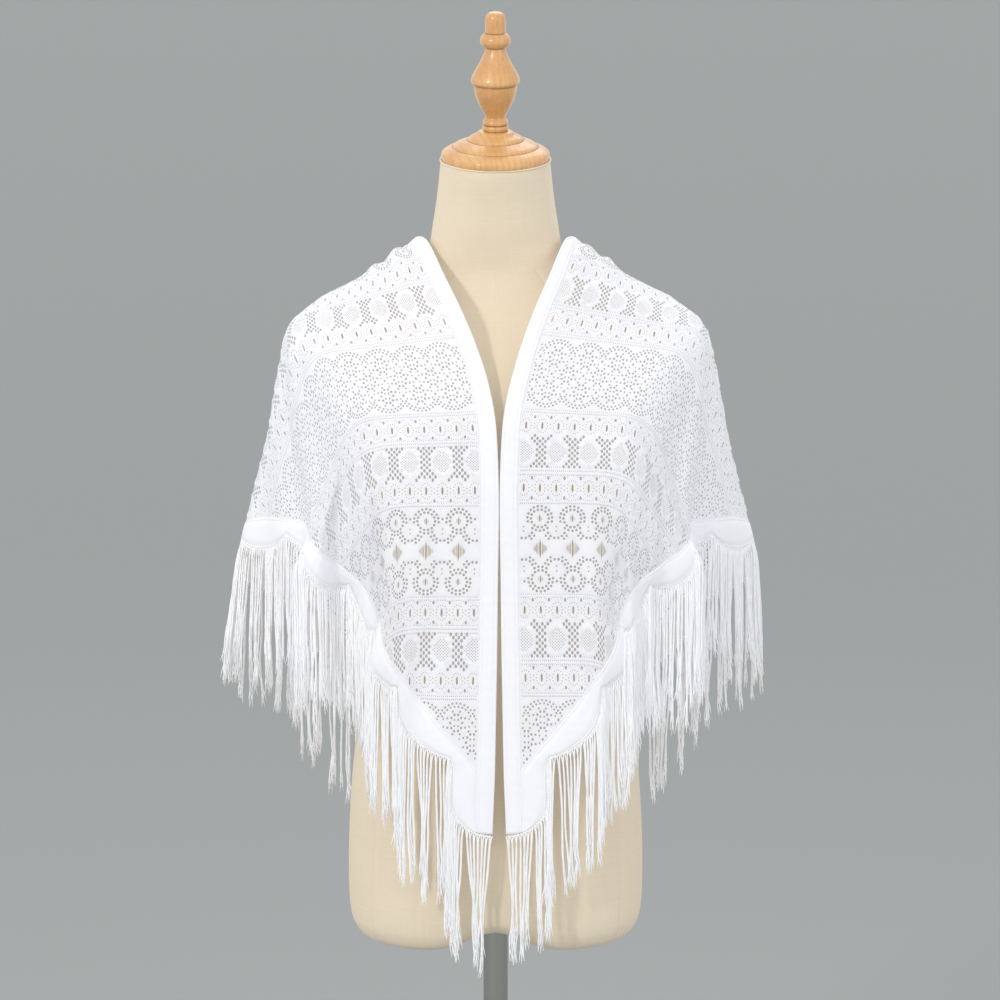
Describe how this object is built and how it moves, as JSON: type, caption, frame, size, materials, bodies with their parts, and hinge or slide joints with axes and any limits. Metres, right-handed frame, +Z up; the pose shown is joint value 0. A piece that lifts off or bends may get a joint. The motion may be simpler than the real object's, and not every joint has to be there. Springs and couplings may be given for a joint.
{
  "type": "fringed lace shawl on dress form",
  "caption": "Triangular open lace shawl with plain bands and a knotted fringe, draped over the shoulders of a limbless dress form on a round stand.",
  "frame": {"origin": "middle of the base plate's underside", "axes": "+Z up along the pole; the open front of the shawl faces -Y; +X is the viewer's right when facing the front"},
  "size_m": [0.5753, 0.3001, 1.592],
  "materials": {
    "white_lace": "matt white knitted lace with open motifs",
    "white_binding": "smooth white ribbon cloth, faint sheen",
    "white_thread": "soft twisted white thread",
    "cream_linen": "cream woven linen stretched over a hard form",
    "oiled_wood": "turned light wood, satin oil",
    "polished_steel": "bright plated steel"
  },
  "bodies": {
    "root": {"lace_left": "white_lace", "lace_right": "white_lace", "neck_band": "white_binding", "hem_band_left": "white_binding", "hem_band_right": "white_binding", "fringe_left": "white_thread", "fringe_right": "white_thread", "form_torso": "cream_linen", "neck_cap": "oiled_wood", "finial": "oiled_wood", "pole": "polished_steel", "base_plate": "polished_steel"}
  },
  "joints": []
}
